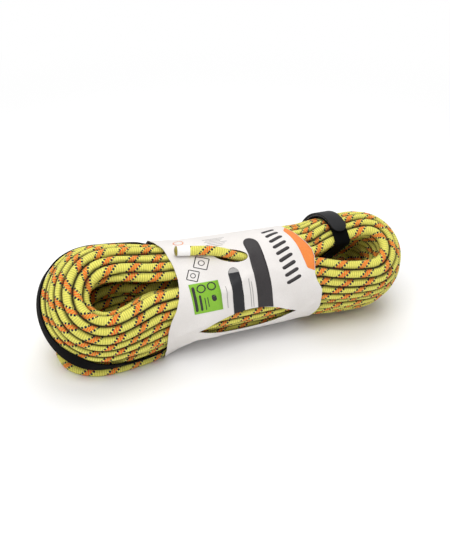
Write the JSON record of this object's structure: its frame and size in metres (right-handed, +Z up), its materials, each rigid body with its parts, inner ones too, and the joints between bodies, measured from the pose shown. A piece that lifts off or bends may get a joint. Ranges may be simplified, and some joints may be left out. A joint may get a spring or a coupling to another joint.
{
  "type": "climbing rope hank",
  "caption": "Dynamic kernmantle climbing rope wound in a long hank, with a card sleeve, a hook-and-loop strap, a webbing loop and marked rope ends.",
  "frame": {"origin": "middle of the length and depth, on the table that the hank lies on", "axes": "+X along the hank from the wide turn to the strap end, +Z up, -Y towards the side with the eyes and labels"},
  "size_m": [0.4015, 0.129, 0.128],
  "materials": {
    "rope_sheath": "woven polyamide, lime with orange and navy tracers",
    "rope_core": "twisted polyamide strands",
    "end_marker": "white shrunk film",
    "end_seal": "melted polyamide",
    "card": "printed coated card",
    "dark_label": "dark paper label",
    "green_label": "green paper label",
    "strap_webbing": "black woven tape",
    "strap_pile": "hook-and-loop pile",
    "strap_tab": "charcoal coated tape",
    "stitching": "black thread",
    "webbing": "black flat webbing"
  },
  "bodies": {
    "hank": {"rope_turns": "rope_sheath", "inner_turns": "rope_sheath", "tail_sheath": "rope_sheath", "end_sheath": "rope_sheath", "tail_core": "rope_core", "end_core": "rope_core", "tail_marker": "end_marker", "end_marker": "end_marker", "tail_seal": "end_seal", "end_seal": "end_seal", "strap_band": "strap_webbing", "strap_loops": "strap_pile", "strap_stitching": "stitching", "carry_webbing": "webbing"},
    "sleeve": {"sleeve_card": "card", "length_label": "dark_label", "info_label": "green_label"},
    "tab": {"strap_tab": "strap_tab", "strap_hooks": "strap_pile"}
  },
  "joints": [
    {"name": "sleeve_slide", "type": "slide", "parent": "hank", "child": "sleeve", "axis": [1, 0, 0], "range_m": [-0.003, 0.003]},
    {"name": "tab_peel", "type": "hinge", "parent": "hank", "child": "tab", "pos_m": [0.11902, 0.05818, 0.07108], "axis": [-1, 0, 0], "range_deg": [0, 100]}
  ]
}
